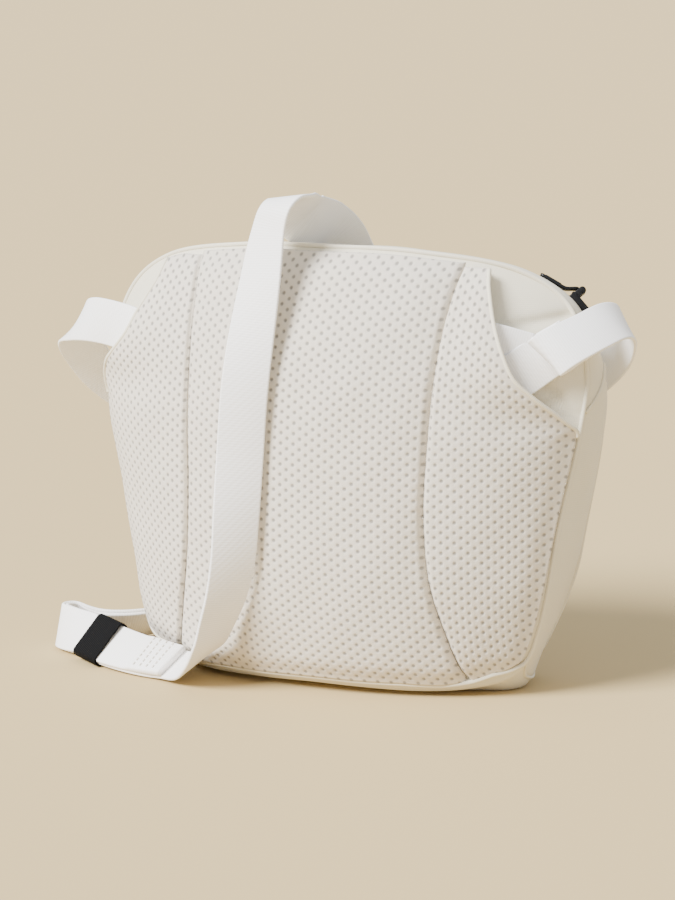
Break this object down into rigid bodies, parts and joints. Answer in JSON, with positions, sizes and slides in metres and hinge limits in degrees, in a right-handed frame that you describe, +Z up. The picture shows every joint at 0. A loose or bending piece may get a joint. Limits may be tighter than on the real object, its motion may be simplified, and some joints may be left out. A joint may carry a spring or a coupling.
{
  "type": "hip pack",
  "caption": "Small ivory nylon hip pack standing on its base, with a padded perforated mesh back, a curved top zip and a white webbing hip strap looped round it.",
  "frame": {"origin": "middle of the flat base that the pack stands on", "axes": "+Z up, -Y out of the padded back that rests against the wearer, +X to the right as seen looking at that back"},
  "size_m": [0.2747, 0.1431, 0.2123],
  "materials": {
    "ivory_nylon": "matte woven",
    "spacer_mesh": "matte perforated mesh over foam",
    "white_webbing": "matte woven webbing",
    "black_elastic": "matte ribbed elastic",
    "black_plastic": "satin moulded"
  },
  "bodies": {
    "pack": {"back_wall": "ivory_nylon", "front_panel": "ivory_nylon", "bottom_gusset": "ivory_nylon", "side_gusset_right": "ivory_nylon", "side_gusset_left": "ivory_nylon", "side_top_right": "ivory_nylon", "side_top_left": "ivory_nylon", "top_band_rear": "ivory_nylon", "zip_tape": "ivory_nylon", "top_band_front": "ivory_nylon", "pad_centre": "spacer_mesh", "pad_wing_left": "spacer_mesh", "pad_wing_right": "spacer_mesh", "anchor_tab_right": "white_webbing", "anchor_tab_left": "white_webbing", "strap_left": "white_webbing", "strap_right": "white_webbing", "strap_tail": "white_webbing", "strap_keeper": "black_elastic", "zip_coil": "black_plastic", "zip_slider": "black_plastic", "clasp": "black_plastic"},
    "pull": {"zip_pull": "black_plastic"}
  },
  "joints": [
    {"name": "pull_hinge", "type": "hinge", "parent": "pack", "child": "pull", "pos_m": [0.1024, 0.02019, 0.17161], "axis": [-0.3628, 0.8914, -0.2716], "range_deg": [0, 120]}
  ]
}
